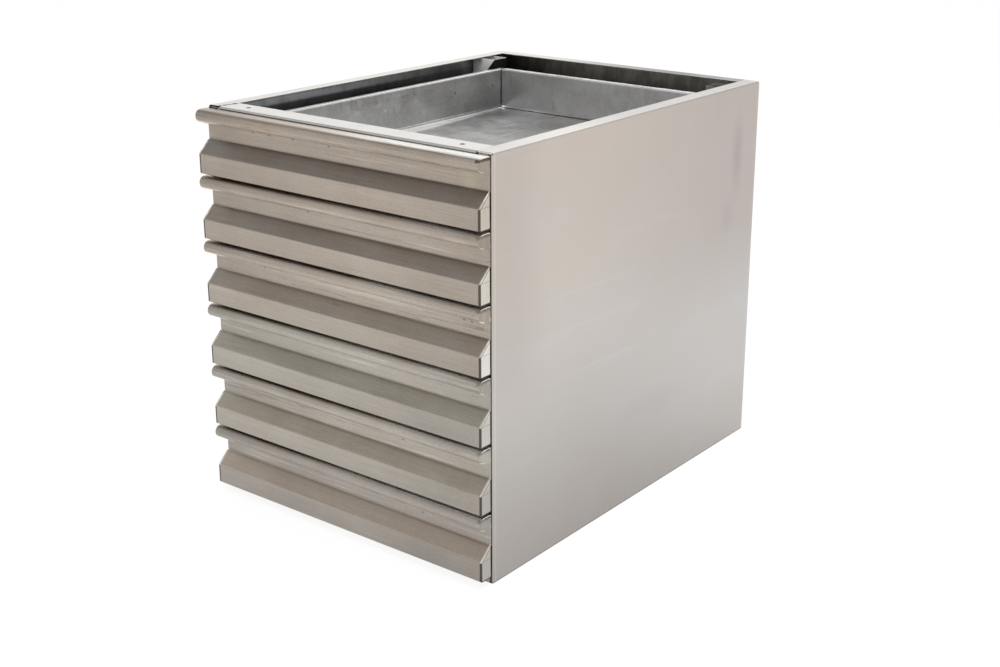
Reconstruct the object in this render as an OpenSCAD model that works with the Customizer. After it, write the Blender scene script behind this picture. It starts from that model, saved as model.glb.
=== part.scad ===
// Six-drawer stainless steel unit with an open top, folded from sheet.
// The drawer fronts face -Y, and the case stands on its flat base at Z = 0.

/* [Case] */
// Outer width of the case
case_w = 535; // [500:5:700]
// Depth from the front plane of the case to its back
case_d = 700; // [620:5:900]
// Thickness of the case sheet
case_t = 1.2; // [0.8:0.1:2]
// Inner radius of the folds in the case sheet
case_bend = 1.5; // [0.5:0.25:3]
// Width of the flange folded inwards along the top of each side
side_flange_w = 25; // [15:1:35]
// Width of the flange folded forwards along the top of the back
back_flange_w = 27; // [15:1:35]
// Width of the returns folded inwards at the front and rear of each side
side_return_w = 21; // [12:1:22]
// Height of the flanges folded up at the front and rear of the base
base_flange_h = 16; // [8:1:20]

/* [Top rail] */
// Height of the edges folded down from the rail
rail_drop = 12; // [6:0.5:14]
// Gap between the rail and the flange at each end, closed by a weld
rail_gap = 0.4; // [0.2:0.1:1]
// Diameter of the two fixing holes in the rail
rail_hole_d = 6; // [3:0.5:8]
// Distance between the two fixing holes
rail_hole_spacing = 405; // [200:5:420]
// Distance from the front plane back to the fixing holes
rail_hole_back = 20.5; // [12:0.5:28]

/* [Uprights] */
// Width of each upright, front to back
upright_w = 35; // [25:1:60]
// Thickness of the upright sheet
upright_t = 1.5; // [1:0.1:2.5]
// Inner radius of the folds in the uprights
upright_bend = 1.5; // [0.5:0.25:3]
// Width of the lips that are welded to the side panel
upright_lip_w = 10; // [6:0.5:14]
// Gap between the front uprights and the rear edge of the rail above them
rail_clearance = 1.4; // [0.5:0.1:10]

/* [Drawer fronts] */
// Number of drawers
drawer_count = 6; // [2:1:6]
// Distance from one drawer to the next
drawer_pitch = 100; // [98:1:130]
// Gap between one drawer front and the next
drawer_gap = 4; // [2:0.5:8]
// Distance from the top of the case down to the first lip
top_gap = 3.5; // [2:0.5:8]
// Height of the lowest grip above the bottom of the case
bottom_gap = 10.5; // [6:0.5:20]
// Gap between the front plane of the case and the drawer fronts
front_gap = 1; // [0.5:0.1:3]
// Inset of the drawer fronts from each side of the case
front_inset = 1.75; // [0:0.25:4]
// Thickness of the front sheet
front_t = 1.2; // [0.8:0.1:1.6]
// Inner radius of the folds in the front sheet
front_bend = 1.5; // [0.5:0.25:2]
// Height of the upright face of the grip
grip_h = 30.5; // [20:0.5:32]
// Height of the slope between the recess and the grip
slope_h = 19.5; // [14:0.5:22]
// Distance that the grip stands out from the recess
grip_reach = 21; // [14:0.5:26]
// Distance that the lip stands out from the recess
lip_reach = 24; // [21:0.5:30]
// Outer radius of the rounded nose of the lip
nose_r = 9.5; // [6:0.25:10]
// Angle at which the underside of the lip falls back towards the recess
lip_angle = 19; // [5:1:25]
// Length of the edge folded back under the nose
lip_hem = 6; // [2:0.5:8]
// Height of the edge folded up behind the grip
grip_hem_h = 10; // [6:0.5:14]
// Gap around the end caps, closed by a weld
cap_gap = 0.25; // [0.1:0.05:0.5]

/* [Trays] */
// Inner width of a tray
tray_w = 403; // [360:1:412]
// Room from the inside of a tray's back wall to the back of the case
tray_room = 85; // [20:1:120]
// Inner height of a tray, from its floor to its rim
tray_h = 69; // [62:1:72]
// Thickness of the tray sheet
tray_t = 1; // [0.7:0.1:1.5]
// Inner radius of the folds in a tray
tray_bend = 2; // [1:0.25:3]
// Width of the rim folded outwards, from the inner face of the wall
rim_w = 10; // [7:0.5:12]
// Distance from the top of the lip down to the rim
rim_drop = 13.5; // [13:0.5:16]
// Width of the open seam between the back wall and each side wall
seam_gap = 0.6; // [0.3:0.1:1.5]

/* [Runners] */
// Distance from the front plane back to the runners
runner_setback = 3; // [3:0.5:10]
// Room between the runners and the back of the case
runner_room = 47; // [6:1:80]
// Distance that the runners reach past the rear uprights
runner_overhang = 4; // [0:1:40]
// Width of a closed runner, from the upright to the tray
runner_w = 12.7; // [12.7:0.1:14]
// Height of a runner
runner_h = 45; // [40:1:52]
// Thickness of the runner sheet
runner_t = 1.2; // [1:0.05:1.3]
// Radius of the small folds in the runners
runner_bend = 1; // [0.8:0.1:1.2]
// Angle of each flank of the grooves that the balls run in
groove_angle = 25; // [20:1:28]
// Diameter of the balls
ball_d = 3; // [2.6:0.1:3.2]
// Clearance between a ball and its groove
ball_gap = 0.15; // [0.1:0.01:0.2]
// Number of balls in one cage
balls_per_cage = 6; // [3:1:10]
// Length of a cage
cage_len = 240; // [120:5:300]
// Width of the cage strip
cage_w = 4; // [3.4:0.1:4.4]
// Thickness of the cage strip
cage_t = 0.5; // [0.3:0.05:0.8]
// Angle that the edges of the outer runner curl round the balls
curl_angle = 60; // [45:5:70]
// Width of the flat edge of the middle runner beyond its grooves
runner_edge = 0.4; // [0.2:0.1:0.6]
// Clearance between the edge of the middle runner and the web of the inner one
runner_gap = 0.3; // [0.2:0.05:0.5]
// Gap between the webs of the outer and middle runners
web_gap = 2.2; // [2:0.05:2.3]
// Travel of a drawer, from closed to fully open
travel = 600; // [400:10:600]

/* [Screws] */
// Diameter of the screws that hold the runners
screw_d = 4; // [3:0.5:5]
// Clearance around a screw
screw_gap = 0.1; // [0.05:0.05:0.3]
// Diameter of a screw head
head_d = 8; // [6:0.5:10]
// Thickness of a screw head
head_t = 1.6; // [1:0.1:1.7]
// Length of a screw under its head
screw_len = 8; // [5:0.5:14]

/* [Hidden] */
$fn = 48;

drawer_pieces = [
    "front", "end_caps", "tray", "tray_back",
    "outer_runners", "middle_runners", "inner_runners", "ball_cages"
];
case_pieces = [
    "left_side_panel", "right_side_panel", "back_panel", "base_panel", "top_front_rail",
    "front_left_upright", "front_right_upright", "rear_left_upright", "rear_right_upright",
    "slide_screws"
];

// How far a cut runs past the faces that it opens
cut_past = 1;
// How much a sheet thins in a fold, on each face
fold_thinning = 0.002;

// Heights follow from the drawers, and the origin is at the middle of the footprint
case_h = top_gap + drawer_count * drawer_pitch - drawer_gap + bottom_gap;
recess_y = -front_gap - front_t;
front_reach = -recess_y + max(lip_reach, grip_reach);
front_y = (front_reach - case_d) / 2;

// Case
case_fold = case_bend + case_t;
side_inner = case_w / 2 - case_t;
flange_inner = case_w / 2 - side_flange_w;
back_y = case_d - case_t;
front_upright_y = 2 * case_t;
rail_d = front_upright_y + upright_w + rail_clearance + case_t;

// Half the width that fits between the folds at the corners of the case
panel_half_w = side_inner - case_bend;

// Drawer fronts
front_w = case_w - 2 * front_inset;
front_h = drawer_pitch - drawer_gap;
front_fold = front_bend + front_t;
slope_angle = atan2(grip_reach, slope_h);
slope_len = norm([grip_reach, slope_h]);
nose_inner = nose_r - front_t;
nose_x = lip_reach - nose_r;

// A corner cut off this far just clears the inside of a fold
cap_cut = (2 - sqrt(2)) * front_bend;

// Trays and runners
tray_fold = tray_bend + tray_t;
tray_side = tray_w / 2 + tray_t;
tray_d = case_d - tray_room;
runner_side = tray_side + runner_w;
runner_len = case_d - runner_room - runner_setback;
rear_upright_y = runner_setback + runner_len - runner_overhang - upright_w;
upright_depth = side_inner - runner_side;

// Sections of the runners: u runs from the upright to the tray, v up from the middle
groove_r = ball_d / 2 + ball_gap;
groove_drop = (runner_bend + groove_r + runner_t) * (1 - cos(groove_angle));
groove_half_w = (runner_bend + groove_r + runner_t) * sin(groove_angle);
middle_web_u = runner_t + web_gap;
outer_ball_v = runner_h / 2 - runner_t - groove_r;
middle_flange_v = outer_ball_v - groove_r - runner_t + groove_drop;
inner_ball_v = middle_flange_v - groove_r;
inner_flange_v = inner_ball_v - groove_r - runner_t + groove_drop;
inner_ball_u = middle_web_u + runner_t + groove_r;
outer_ball_u = runner_w - runner_t - runner_gap - runner_edge - groove_half_w;

function lip_z(n) = case_h - top_gap - (n - 1) * drawer_pitch;
function rim_z(n) = lip_z(n) - rim_drop;
function floor_z(n) = rim_z(n) - tray_h;
function runner_z(n) = rim_z(n) - (tray_h + tray_t) / 2;

// Carries a piece drawn from the front plane of the case to its place in the unit
module in_place() {
    translate([0, front_y, 0]) children();
}

// Extrudes a section drawn as (Y, Z) along X, with its middle at X = 0
module along_x(len) {
    translate([-len / 2, 0, 0])
        rotate([90, 0, 90])
            linear_extrude(len)
                children();
}

// Extrudes a section drawn as (X, Z) along Y, from one place to another
module along_y(from, to) {
    translate([0, to, 0])
        rotate([90, 0, 0])
            linear_extrude(to - from)
                children();
}

module both_sides() {
    children();
    mirror([1, 0, 0]) children();
}

module both_halves() {
    children();
    mirror([0, 1]) children();
}

// Fold about the origin, from straight below it and anticlockwise through an angle under 180
module fold_section(inner_r, t, turn) {
    outer_r = inner_r + t;
    reach = 2 * outer_r;
    intersection() {
        difference() {
            circle(outer_r - fold_thinning);
            circle(inner_r + fold_thinning);
        }
        translate([0, -reach]) square([reach, 2 * reach]);
        rotate(turn) translate([-reach, -reach]) square([reach, 2 * reach]);
    }
}

// Section of a folded strip. Each step is [flat length, angle of the fold after it, inner radius].
// The strip starts at the origin and runs towards +X with its thickness above the line,
// and a positive angle folds it upwards.
module strip(t, steps, i = 0) {
    run = steps[i][0];
    turn = steps[i][1];
    r = steps[i][2];
    if (run > 0) square([run, t]);
    if (i < len(steps) - 1) {
        translate([run, 0]) {
            if (turn > 0) {
                translate([0, r + t]) {
                    fold_section(r, t, turn);
                    rotate(turn) translate([0, -r - t]) strip(t, steps, i + 1);
                }
            } else {
                translate([0, -r]) {
                    mirror([0, 1]) fold_section(r, t, -turn);
                    rotate(turn) translate([0, r]) strip(t, steps, i + 1);
                }
            }
        }
    }
}

// Side panel with a flange along its top and returns at its front and rear, notched at the corners
module side_panel() {
    in_place() {
        along_y(case_fold, case_d - case_fold)
            translate([-case_w / 2, 0])
                mirror([0, 1])
                    rotate(-90)
                        strip(case_t, [
                            [case_h - case_fold, 90, case_bend],
                            [side_flange_w - case_fold]
                        ]);
        linear_extrude(case_h - case_fold)
            translate([-case_w / 2 + side_return_w, 0])
                mirror([1, 0])
                    strip(case_t, [
                        [side_return_w - case_fold, 90, case_bend],
                        [case_d - 2 * case_fold, 90, case_bend],
                        [side_return_w - case_fold]
                    ]);
    }
}

module left_side_panel() {
    color("#bdb8b2") side_panel();
}

module right_side_panel() {
    color("#bdb8b2") mirror([1, 0, 0]) side_panel();
}

// Back panel inside the rear returns, with a flange between the side flanges
module back_panel() {
    color("#b4b0ab") in_place() {
        along_x(2 * panel_half_w)
            translate([back_y - case_t, 0])
                square([case_t, case_h - case_fold]);
        along_x(2 * (flange_inner - rail_gap))
            translate([back_y, 0])
                rotate(90)
                    strip(case_t, [
                        [case_h - case_fold, 90, case_bend],
                        [back_flange_w - case_fold]
                    ]);
    }
}

// Floor of the case, with flanges folded up behind the front returns and before the back panel
module base_panel() {
    color("#aaa6a1") in_place()
        along_x(2 * panel_half_w)
            translate([case_t, base_flange_h])
                rotate(-90)
                    strip(case_t, [
                        [base_flange_h - case_fold, 90, case_bend],
                        [case_d - 3 * case_t - 2 * case_fold, 90, case_bend],
                        [base_flange_h - case_fold]
                    ]);
}

// Rail across the top of the front, between the side flanges
module top_front_rail() {
    color("#d6d3cf") in_place()
        difference() {
            along_x(2 * (flange_inner - rail_gap))
                translate([0, case_h - rail_drop])
                    mirror([1, 0])
                        rotate(90)
                            strip(case_t, [
                                [rail_drop - case_fold, 90, case_bend],
                                [rail_d - 2 * case_fold, 90, case_bend],
                                [rail_drop - case_fold]
                            ]);
            both_sides()
                translate([rail_hole_spacing / 2, rail_hole_back, case_h - case_t - cut_past])
                    cylinder(d = rail_hole_d, h = case_t + 2 * cut_past);
        }
}

// Lipped channel against the left side panel, clear of the folds of the case above and below it
module upright(y) {
    in_place()
        difference() {
            translate([0, y, case_fold])
                linear_extrude(case_h - 2 * case_fold)
                    translate([-side_inner, upright_lip_w])
                        rotate(-90)
                            strip(upright_t, [
                                [upright_lip_w - upright_t - upright_bend, 90, upright_bend],
                                [upright_depth - 2 * (upright_t + upright_bend), 90, upright_bend],
                                [upright_w - 2 * (upright_t + upright_bend), 90, upright_bend],
                                [upright_depth - 2 * (upright_t + upright_bend), 90, upright_bend],
                                [upright_lip_w - upright_t - upright_bend]
                            ]);
            for (n = [1 : drawer_count])
                screw_hole(y, n, upright_t);
        }
}

// Hole for one screw, along X through a web whose inner face is at the runner's outer face
module screw_hole(y, n, depth) {
    translate([-runner_side - depth - cut_past, y + upright_w / 2, runner_z(n)])
        rotate([0, 90, 0])
            cylinder(d = screw_d + 2 * screw_gap, h = depth + runner_t + 2 * cut_past);
}

module front_left_upright() {
    color("#9c9994") upright(front_upright_y);
}

module front_right_upright() {
    color("#9c9994") mirror([1, 0, 0]) upright(front_upright_y);
}

module rear_left_upright() {
    color("#9c9994") upright(rear_upright_y);
}

module rear_right_upright() {
    color("#9c9994") mirror([1, 0, 0]) upright(rear_upright_y);
}

// Screws that hold the outer runners to the uprights
module slide_screws() {
    color("#c9c6c0") in_place()
        both_sides()
            for (n = [1 : drawer_count], y = [front_upright_y, rear_upright_y])
                translate([-runner_side + runner_t, y + upright_w / 2, runner_z(n)])
                    rotate([0, 90, 0]) {
                        cylinder(d = head_d, h = head_t);
                        translate([0, 0, -screw_len]) cylinder(d = screw_d, h = screw_len + head_t / 2);
                    }
}

// Drawer front, folded from one sheet: hem, grip, slope, recess, lip and the edge under its nose
module drawer_front(n) {
    slope_out = front_fold * tan(slope_angle / 2);
    slope_in = front_bend * tan(slope_angle / 2);
    color("#a39a8f") in_place()
        along_x(front_w)
            translate([recess_y, lip_z(n) - front_h])
                mirror([1, 0])
                    translate([-front_t, grip_hem_h])
                        rotate(-90)
                            strip(front_t, [
                                [grip_hem_h - front_fold, 90, front_bend],
                                [front_t + grip_reach - 2 * front_fold, 90, front_bend],
                                [grip_h - front_fold - slope_out, slope_angle, front_bend],
                                [slope_len - slope_out - slope_in, -slope_angle, front_bend],
                                [
                                    front_h - grip_h - slope_h - front_t - slope_in - front_bend,
                                    -90, front_bend
                                ],
                                [nose_x - front_bend, lip_angle - 180, nose_inner],
                                [lip_hem]
                            ]);
}

// Outline of the plate that closes an end of the grip, with (0, 0) at the foot of the recess face
module grip_cap_outline() {
    edge = front_t + cap_gap;
    polygon([
        [cap_gap, edge + cap_cut],
        [cap_gap + cap_cut, edge],
        [grip_reach - edge - cap_cut, edge],
        [grip_reach - edge, edge + cap_cut],
        [grip_reach - edge, grip_h - edge * tan(slope_angle / 2)],
        [cap_gap, grip_h + slope_h - edge / sin(slope_angle) - cap_gap * slope_h / grip_reach]
    ]);
}

// Outline of the plate that closes an end of the lip, with (0, 0) at the top of the lip's root
module lip_cap_outline() {
    r = nose_inner - cap_gap;
    nose_steps = 12;
    end = 180 - lip_angle;
    back = [-cos(lip_angle), -sin(lip_angle)];
    down = [sin(lip_angle), -cos(lip_angle)];
    hem_start = [nose_x, -nose_r] + r * down;
    hem_end = hem_start + (lip_hem + cap_gap) * back;
    step_end = hem_end + (front_t + cap_gap) * down;
    polygon(concat(
        [[cap_gap, -nose_r + r - cap_cut], [cap_gap + cap_cut, -nose_r + r]],
        [
            for (i = [0 : nose_steps])
                [nose_x + r * sin(end * i / nose_steps), -nose_r + r * cos(end * i / nose_steps)]
        ],
        [hem_end, step_end, [cap_gap, step_end[1] - (step_end[0] - cap_gap) * tan(lip_angle)]]
    ));
}

// Welded plates that close both ends of the grip and of the lip
module drawer_end_caps(n) {
    color("#c2bdb4") in_place()
        both_sides()
            translate([front_w / 2 - front_t / 2, 0, 0])
                along_x(front_t)
                    translate([recess_y, 0])
                        mirror([1, 0]) {
                            translate([0, lip_z(n) - front_h]) grip_cap_outline();
                            translate([0, lip_z(n)]) lip_cap_outline();
                        }
}

// Floor, side walls and front wall of a tray, folded from one sheet and notched at the front corners
module drawer_tray(n) {
    wall = tray_h + tray_t - 2 * tray_fold;
    color("#a8a6a4") in_place() {
        along_y(-front_gap + tray_fold, tray_d + tray_t)
            translate([-tray_w / 2 - rim_w, rim_z(n) - tray_t])
                strip(tray_t, [
                    [rim_w - tray_t - tray_bend, -90, tray_bend],
                    [wall, 90, tray_bend],
                    [tray_w - 2 * tray_bend, 90, tray_bend],
                    [wall, -90, tray_bend],
                    [rim_w - tray_t - tray_bend]
                ]);
        both_sides()
            translate([tray_side + tray_bend, tray_d, rim_z(n) - tray_t])
                cube([rim_w - tray_t - tray_bend, rim_w, tray_t]);
        along_x(tray_w - 2 * tray_bend)
            translate([tray_d / 2, floor_z(n) - tray_t])
                mirror([1, 0])
                    strip(tray_t, [
                        [tray_d / 2 + front_gap - tray_fold, 90, tray_bend],
                        [tray_h + tray_t - tray_fold]
                    ]);
    }
}

// Back wall of a tray, standing on its floor, with its rim folded backwards
// and its lower corners notched to clear the folds between the floor and the sides
module drawer_tray_back(n) {
    color("#a8a6a4") in_place()
        difference() {
            along_x(tray_w - 2 * seam_gap)
                translate([tray_d + tray_t, floor_z(n)])
                    rotate(90)
                        strip(tray_t, [
                            [tray_h - tray_t - tray_bend, -90, tray_bend],
                            [rim_w - tray_t - tray_bend]
                        ]);
            both_sides()
                translate([tray_w / 2 - tray_bend, tray_d - cut_past, floor_z(n) - cut_past])
                    cube([tray_bend + cut_past, tray_t + 2 * cut_past, tray_bend + cut_past]);
        }
}

// Draws a section in (u, v) as a runner on each side of drawer n
module runner_pair(n) {
    in_place()
        both_sides()
            along_y(runner_setback, runner_setback + runner_len)
                translate([-runner_side, runner_z(n)])
                    both_halves()
                        children();
}

// Outer runner, whose curled edges hold the outer balls from above
module drawer_outer_runners(n) {
    color("#8f8d8a")
        difference() {
            runner_pair(n)
                translate([runner_t, 0])
                    rotate(90)
                        strip(runner_t, [
                            [runner_h / 2 - runner_t - runner_bend, -90, runner_bend],
                            [outer_ball_u - runner_t - runner_bend, -curl_angle, groove_r],
                            [0]
                        ]);
            in_place()
                both_sides()
                    for (y = [front_upright_y, rear_upright_y])
                        screw_hole(y, n, 0);
        }
}

// Middle runner, grooved for the outer balls and folded round the inner balls
module drawer_middle_runners(n) {
    color("#a5a3a0")
        runner_pair(n)
            translate([middle_web_u + runner_t, 0])
                rotate(90)
                    strip(runner_t, [
                        [inner_ball_v, -90, groove_r],
                        [outer_ball_u - inner_ball_u - groove_half_w, -groove_angle, runner_bend],
                        [0, 2 * groove_angle, groove_r],
                        [0, -groove_angle, runner_bend],
                        [runner_edge]
                    ]);
}

// Inner runner on the wall of the tray, grooved for the inner balls
module drawer_inner_runners(n) {
    color("#bab8b5")
        runner_pair(n)
            translate([runner_w, 0])
                mirror([1, 0])
                    translate([runner_t, 0])
                        rotate(90)
                            strip(runner_t, [
                                [inner_flange_v - runner_bend, -90, runner_bend],
                                [
                                    runner_w - runner_t - runner_bend - inner_ball_u - groove_half_w,
                                    -groove_angle, runner_bend
                                ],
                                [0, 2 * groove_angle, groove_r],
                                [0]
                            ]);
}

// One cage from y = 0 backwards, with its balls at x = 0 and its strip spread to one side of them
module cage(side) {
    pitch = cage_len / balls_per_cage;
    translate([side * (cage_w - ball_d) / 2 - cage_w / 2, 0, -cage_t / 2])
        cube([cage_w, cage_len, cage_t]);
    for (i = [0 : balls_per_cage - 1])
        translate([0, (i + 0.5) * pitch, 0])
            sphere(d = ball_d);
}

// Cages between the runners: the outer pair to the rear and the inner pair to the front
module drawer_ball_cages(n) {
    color("#d9d4c7") in_place()
        both_sides()
            translate([-runner_side, 0, runner_z(n)])
                for (side = [-1, 1]) {
                    translate([
                        outer_ball_u,
                        runner_setback + (runner_len + travel / 2 - cage_len) / 2,
                        side * outer_ball_v
                    ])
                        cage(-1);
                    translate([
                        inner_ball_u,
                        runner_setback + (runner_len - travel / 2 - cage_len) / 2,
                        side * inner_ball_v
                    ])
                        cage(1);
                }
}

left_side_panel();
right_side_panel();
back_panel();
base_panel();
top_front_rail();
front_left_upright();
front_right_upright();
rear_left_upright();
rear_right_upright();
slide_screws();
for (n = [1 : drawer_count]) {
    drawer_front(n);
    drawer_end_caps(n);
    drawer_tray(n);
    drawer_tray_back(n);
    drawer_outer_runners(n);
    drawer_middle_runners(n);
    drawer_inner_runners(n);
    drawer_ball_cages(n);
}
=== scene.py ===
# Looks of the six-drawer stainless steel unit: finishes for every folded sheet of the packed
# model, its weld beads, seams and spot welds, and the studio that it stands in.
import math
import random

import bmesh
import bpy
from mathutils import Matrix, Vector


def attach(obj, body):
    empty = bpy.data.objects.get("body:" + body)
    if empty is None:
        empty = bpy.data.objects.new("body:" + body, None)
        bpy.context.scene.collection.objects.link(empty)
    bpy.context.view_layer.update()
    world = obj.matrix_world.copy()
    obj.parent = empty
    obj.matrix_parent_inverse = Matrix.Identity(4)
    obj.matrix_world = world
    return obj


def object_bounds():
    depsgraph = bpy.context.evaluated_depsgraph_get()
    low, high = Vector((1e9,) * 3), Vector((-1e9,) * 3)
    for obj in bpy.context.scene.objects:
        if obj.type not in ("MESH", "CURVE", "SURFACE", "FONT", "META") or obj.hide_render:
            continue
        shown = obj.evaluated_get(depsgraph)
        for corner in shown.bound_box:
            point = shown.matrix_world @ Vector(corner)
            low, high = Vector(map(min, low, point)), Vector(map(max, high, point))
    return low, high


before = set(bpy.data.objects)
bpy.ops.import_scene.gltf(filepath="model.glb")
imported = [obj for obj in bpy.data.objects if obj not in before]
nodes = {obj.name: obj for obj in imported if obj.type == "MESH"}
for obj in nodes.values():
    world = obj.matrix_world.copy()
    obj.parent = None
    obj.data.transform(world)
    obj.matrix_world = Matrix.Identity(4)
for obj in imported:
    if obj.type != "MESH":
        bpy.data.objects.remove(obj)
bpy.context.view_layer.update()
cad_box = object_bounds()
bpy.context.scene.view_settings.view_transform = "Standard"

# Case, in metres: its outer planes, and the inner edge of its side flanges
CASE_SIDE_X, CASE_BACK_Y, CASE_TOP_Z = cad_box[1]
CASE_FRONT_Y = CASE_BACK_Y - 0.700
FLANGE_X = CASE_SIDE_X - 0.025

# Fronts: the faces of recess and grip, and heights counted down from the lip's top
DRAWERS = range(1, 7)
PITCH = 0.100
FIRST_LIP_TOP = CASE_TOP_Z - 0.0035
RECESS_Y = CASE_FRONT_Y - 0.0022
GRIP_Y = RECESS_Y - 0.0210
SLOPE_TOP, SLOPE_FOOT, GRIP_FOOT = 0.046, 0.0655, 0.096
# How far the slope over the grip faces forward and up
SLOPE_NORMAL = (0.680, 0.733)
END_X = CASE_SIDE_X - 0.00175

# Trays: the rim's distance below the lip's top, the depth, and the inner faces of the walls
RIM_DROP, TRAY_DEPTH = 0.0135, 0.069
TRAY_WALL_X, TRAY_BACK_Y = 0.2015, CASE_FRONT_Y + 0.615

# Middle of the right screw hole in the top rail, seen from above
HOLE = (0.2025, CASE_FRONT_Y + 0.0205, 0.0)
HOLE_EDGE = 0.0036

# Camera of the photograph: azimuth, elevation and roll in degrees, place in metres, focal length
# as a share of the sensor's width, and the shift that the photograph's upright edges ask for
CAMERA_ANGLES = (37.04, 17.51, 0.33)
CAMERA_PLACE = (1.4022, -1.7586, 1.0095)
FOCAL_SHARE = 1.4667
CAMERA_SHIFT = (-0.03, -0.0485)


# ---------------------------------------------------------------- camera and studio

def place_camera():
    """Camera at the photograph's place, looking along its angles."""
    a, e, r = (math.radians(angle) for angle in CAMERA_ANGLES)
    back = Vector((math.sin(a) * math.cos(e), -math.cos(a) * math.cos(e), math.sin(e)))
    level = Vector((math.cos(a), math.sin(a), 0))
    right = level * math.cos(r) + back.cross(level) * math.sin(r)
    up = back.cross(right)
    data = bpy.data.cameras.new("photo_camera")
    data.lens = FOCAL_SHARE * data.sensor_width
    data.shift_x, data.shift_y = CAMERA_SHIFT
    data.clip_start, data.clip_end = 0.05, 60
    camera = bpy.data.objects.new("photo_camera", data)
    facing = Matrix((right, up, back)).transposed().to_4x4()
    camera.matrix_world = Matrix.Translation(CAMERA_PLACE) @ facing
    bpy.context.scene.collection.objects.link(camera)
    bpy.context.scene.camera = camera


place_camera()


class Nodes:
    """Short names for building one node tree."""

    def __init__(self, tree):
        self.tree = tree
        self.axes = None

    def add(self, kind, **settings):
        node = self.tree.nodes.new(kind)
        for name, value in settings.items():
            if name == "inputs":
                for key, v in value.items():
                    self.set(node.inputs[key], v)
            else:
                setattr(node, name, value)
        return node

    def set(self, socket, value):
        if isinstance(value, bpy.types.NodeSocket):
            self.tree.links.new(value, socket)
        elif isinstance(value, tuple) and len(value) == 3 and socket.type == "RGBA":
            socket.default_value = (*value, 1)
        else:
            socket.default_value = value

    def math(self, operation, a, b=0.0, c=0.0):
        node = self.add("ShaderNodeMath", operation=operation)
        for socket, value in zip(node.inputs, (a, b, c)):
            self.set(socket, value)
        return node.outputs[0]

    def times(self, a, b):
        return self.math("MULTIPLY", a, b)

    def vector(self, operation, a, b=(0, 0, 0)):
        node = self.add("ShaderNodeVectorMath", operation=operation)
        self.set(node.inputs[0], a)
        self.set(node.inputs[1], b)
        return node.outputs["Value" if operation in ("DOT_PRODUCT", "LENGTH") else "Vector"]

    def scaled(self, vector, factor):
        node = self.add("ShaderNodeVectorMath", operation="SCALE")
        self.set(node.inputs[0], vector)
        self.set(node.inputs["Scale"], factor)
        return node.outputs[0]

    def remap(self, value, low, high, to_low=0.0, to_high=1.0, smooth=True):
        """Value between two marks, turned into a smooth step between two others."""
        node = self.add("ShaderNodeMapRange", interpolation_type="SMOOTHSTEP" if smooth else "LINEAR")
        for key, v in zip(("Value", "From Min", "From Max", "To Min", "To Max"),
                          (value, low, high, to_low, to_high)):
            self.set(node.inputs[key], v)
        return node.outputs["Result"]

    def between(self, value, low, high, soft):
        """Mask that is 1 between two marks and falls to 0 over a soft edge outside them."""
        return self.times(self.remap(value, low - soft, low), self.remap(value, high + soft, high))

    def mix(self, share, a, b, blend="MIX"):
        node = self.add("ShaderNodeMix", data_type="RGBA", blend_type=blend, clamp_factor=True)
        self.set(node.inputs["Factor"], share)
        self.set(node.inputs[6], a)
        self.set(node.inputs[7], b)
        return node.outputs[2]

    def noise(self, vector, scale, detail=2.0, roughness=0.5, distortion=0.0):
        node = self.add("ShaderNodeTexNoise")
        for key, v in (("Vector", vector), ("Scale", scale), ("Detail", detail),
                       ("Roughness", roughness), ("Distortion", distortion)):
            self.set(node.inputs[key], v)
        return node.outputs["Fac"]

    def place(self):
        """The point on the part, in metres."""
        return self.add("ShaderNodeTexCoord").outputs["Object"]

    def axis(self, letter):
        """X, Y or Z of the point on the part, in metres."""
        if self.axes is None:
            self.axes = self.add("ShaderNodeSeparateXYZ", inputs={"Vector": self.place()}).outputs
        return self.axes[letter]

    def ramp(self, value, stops, interpolation="LINEAR"):
        node = self.add("ShaderNodeValToRGB")
        node.color_ramp.interpolation = interpolation
        while len(node.color_ramp.elements) < len(stops):
            node.color_ramp.elements.new(1.0)
        for element, (position, colour) in zip(node.color_ramp.elements, stops):
            element.position, element.color = position, (*colour, 1)
        self.set(node.inputs["Fac"], value)
        return node.outputs["Color"]

    def group(self, tree, **values):
        """Outputs of a shared effect, given its inputs by name."""
        node = self.add("ShaderNodeGroup", node_tree=tree)
        for label, value in values.items():
            self.set(node.inputs[label], value)
        return node.outputs


# Brightness of the studio's walls and ceiling: level near the horizon and overhead, and patches
# given as direction, inner and outer angle in degrees, and light added.
HORIZON, OVERHEAD = 0.62, 0.30
WALLS = [
    ((-0.70, 0.70, 0.20), 12, 42, 0.75),   # softbox behind on the left
    ((0.20, 0.97, 0.10), 15, 60, 0.20),    # wall straight behind
    ((0.85, -0.30, 0.20), 20, 70, 0.25),   # wall on the right
    ((-0.62, -0.60, 0.50), 8, 31, 0.36),   # lamp in front on the left, seen by the lower slopes
    ((-0.57, -0.24, 0.78), 10, 38, 0.06),  # ceiling above on the left
    ((-0.12, 0.75, 0.62), 10, 27, 1.1),    # lamp high behind, seen in the trays' lower folds
    ((0.0, 0.0, 1.0), 10, 40, 0.36),       # window in the ceiling
]


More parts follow.
